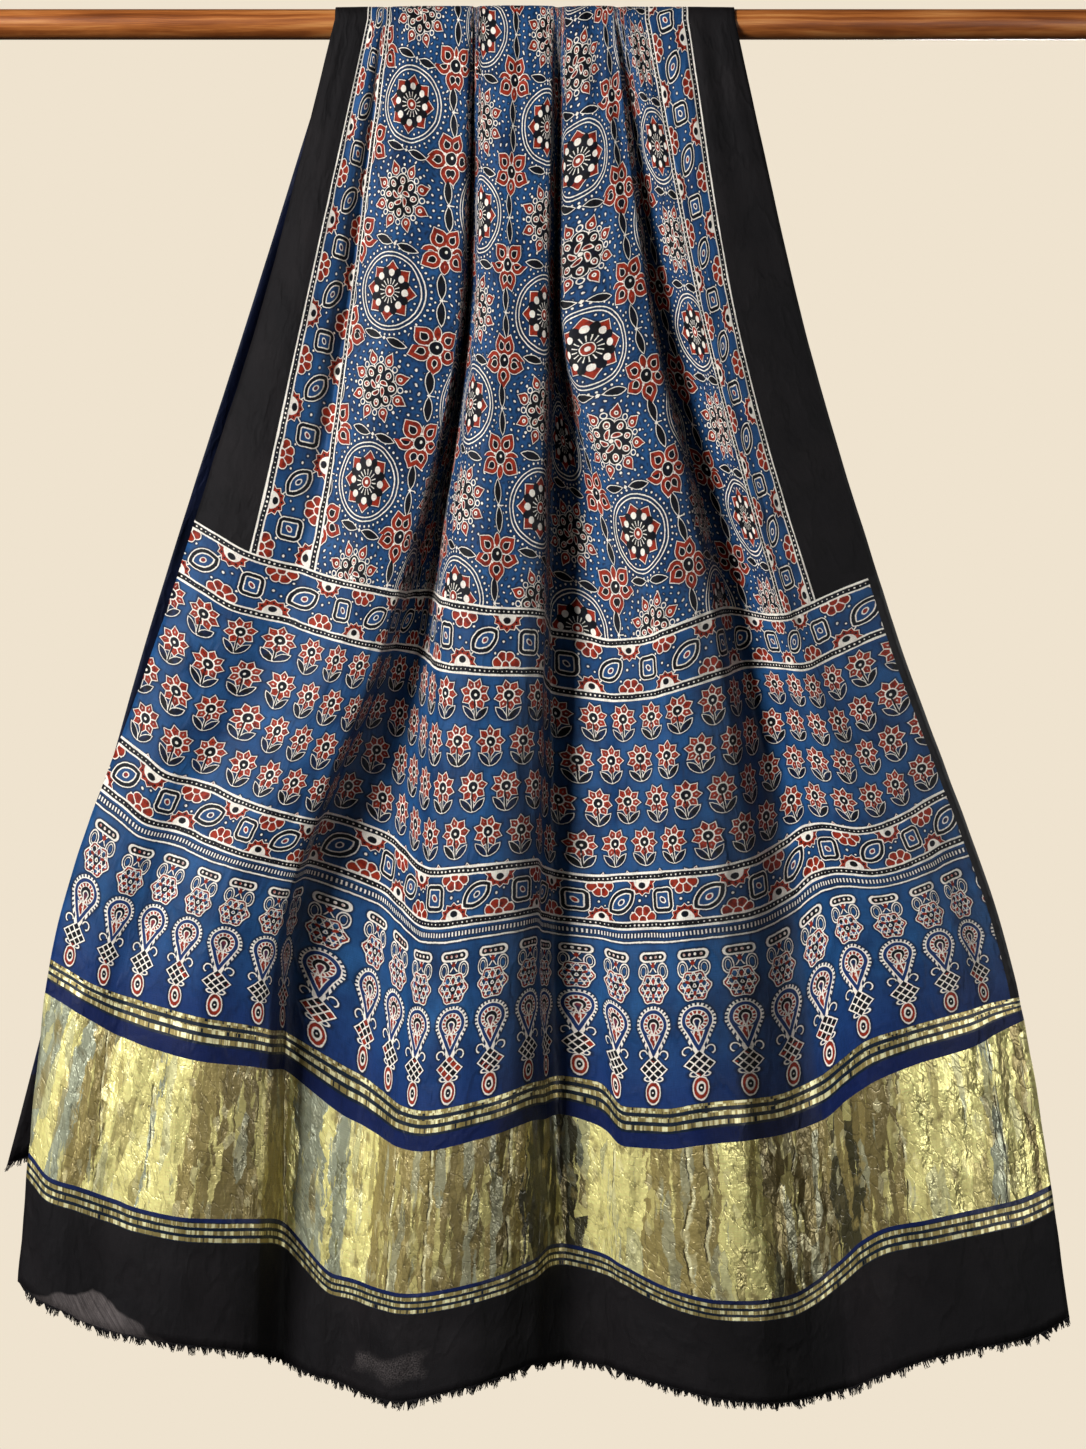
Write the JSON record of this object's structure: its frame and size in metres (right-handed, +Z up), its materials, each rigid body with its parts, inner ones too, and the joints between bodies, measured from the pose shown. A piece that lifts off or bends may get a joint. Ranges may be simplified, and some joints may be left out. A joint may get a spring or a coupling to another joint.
{
  "type": "ajrakh cloth on a wooden rod",
  "caption": "Long block-printed cloth with a gold tissue band and frayed ends, draped in folds over a round wooden rod.",
  "frame": {"origin": "middle of the rod's axis, where what carries the rod holds it up", "axes": "+X along the rod to the right of someone who faces the cloth's front, +Z up, the front faces -Y"},
  "size_m": [1.1, 0.1253, 1.2986],
  "materials": {
    "cloth": "soft satin weave, printed in indigo, madder, black and cream",
    "fringe": "matt black threads",
    "rod": "glossy brown stain"
  },
  "bodies": {
    "root": {"cloth": "cloth", "fringe_front": "fringe", "fringe_back": "fringe", "rod": "rod"}
  },
  "joints": []
}
